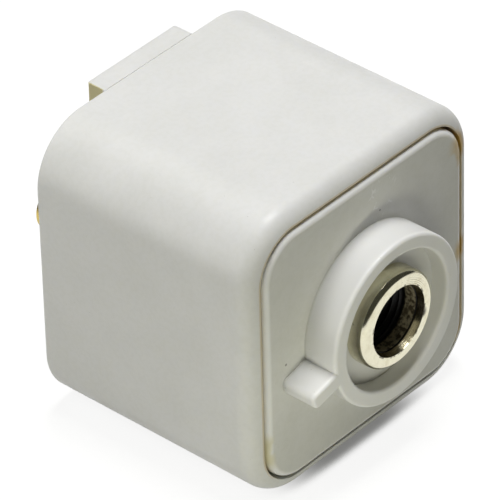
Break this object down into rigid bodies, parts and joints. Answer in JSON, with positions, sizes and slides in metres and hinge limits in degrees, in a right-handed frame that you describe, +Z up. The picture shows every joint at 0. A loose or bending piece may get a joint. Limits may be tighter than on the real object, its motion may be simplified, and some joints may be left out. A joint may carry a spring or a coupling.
{
  "type": "track light adapter",
  "caption": "Off-white cube-shaped lighting track adapter with a threaded stem bushing in a round collar, a spring-loaded sliding housing with slot lugs and a quarter-turn key with brass contact blades",
  "frame": {"origin": "centre of the threaded stem port's mouth, on the adapter axis", "axes": "+Z up as the adapter lies on its flat side, the stem port opens towards -Y, the track side is +Y, X to the right seen from the front"},
  "size_m": [0.04, 0.0484, 0.04],
  "materials": {
    "housing_plastic": "satin moulded off-white",
    "cover_plastic": "satin moulded off-white",
    "insulator_plastic": "matt moulded ivory",
    "plated_brass": "turned and nickel plated, slightly worn",
    "contact_brass": "bright stamped sheet",
    "screw_brass": "turned",
    "zinc_steel": "zinc plated",
    "spring_steel": "bright drawn wire"
  },
  "bodies": {
    "core": {"front_cover": "cover_plastic", "friction_spring": "spring_steel", "earth_bracket": "contact_brass", "contact_block": "insulator_plastic", "line_contact": "contact_brass", "neutral_contact": "contact_brass", "terminal_clamps": "zinc_steel", "terminal_screws": "screw_brass", "block_screws": "zinc_steel", "key_neck": "insulator_plastic", "lock_plate": "zinc_steel", "key_turret": "insulator_plastic", "key_cap": "insulator_plastic", "key_screws": "zinc_steel", "spring_seat": "zinc_steel", "return_spring": "spring_steel"},
    "sleeve": {"housing": "housing_plastic"},
    "stem": {"stem_bushing": "plated_brass", "bushing_washer": "zinc_steel", "bushing_nut": "zinc_steel"}
  },
  "joints": [
    {"name": "housing_slide", "type": "slide", "parent": "core", "child": "sleeve", "axis": [0, -1, 0], "range_m": [0, 0.0032], "stiffness_N_per_m": 350, "springref_m": -0.008, "deforming": ["return_spring"]},
    {"name": "stem_swivel", "type": "hinge", "parent": "core", "child": "stem", "pos_m": [0, 0, 0], "axis": [0, -1, 0], "range_deg": [-165, 165]}
  ]
}
